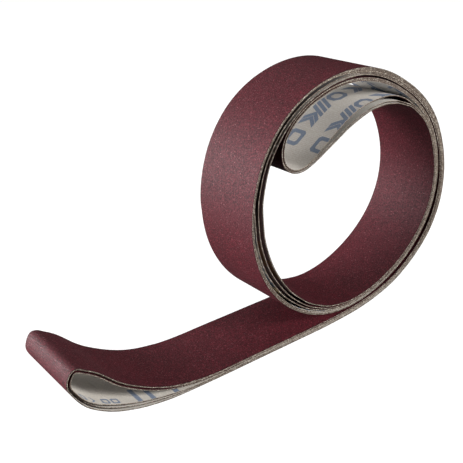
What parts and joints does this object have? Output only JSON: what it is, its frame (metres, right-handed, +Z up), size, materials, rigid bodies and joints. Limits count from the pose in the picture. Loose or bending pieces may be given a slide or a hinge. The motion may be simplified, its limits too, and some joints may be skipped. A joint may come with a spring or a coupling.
{
  "type": "abrasive belt nest",
  "caption": "Nest of long narrow endless cloth-backed abrasive belts, flattened and rolled into a coil that stands on its own tail.",
  "frame": {"origin": "centre of the bounding box in plan, on the floor plane under the tail", "axes": "+X along the tail towards the coil, +Y across the belts from the front edges to the back edges, +Z up"},
  "size_m": [0.3053, 0.05, 0.1731],
  "materials": {
    "abrasive_coat": "matt maroon aluminium oxide grain set in resin",
    "cotton_backing": "warm grey sized twill cloth with cut edges",
    "splice_film": "thin tan film"
  },
  "bodies": {
    "outer_belt": {"outer_belt_grit": "abrasive_coat", "outer_belt_backing": "cotton_backing", "outer_belt_splice_tape": "splice_film"},
    "middle_belt": {"middle_belt_grit": "abrasive_coat", "middle_belt_backing": "cotton_backing", "middle_belt_splice_tape": "splice_film"},
    "inner_belt": {"inner_belt_grit": "abrasive_coat", "inner_belt_backing": "cotton_backing", "inner_belt_splice_tape": "splice_film"}
  },
  "joints": [
    {"name": "middle_belt_draws_out", "type": "slide", "parent": "outer_belt", "child": "middle_belt", "axis": [0, 1, 0], "range_m": [-0.06, 0.06]},
    {"name": "inner_belt_draws_out", "type": "slide", "parent": "middle_belt", "child": "inner_belt", "axis": [0, 1, 0], "range_m": [-0.06, 0.06]}
  ]
}
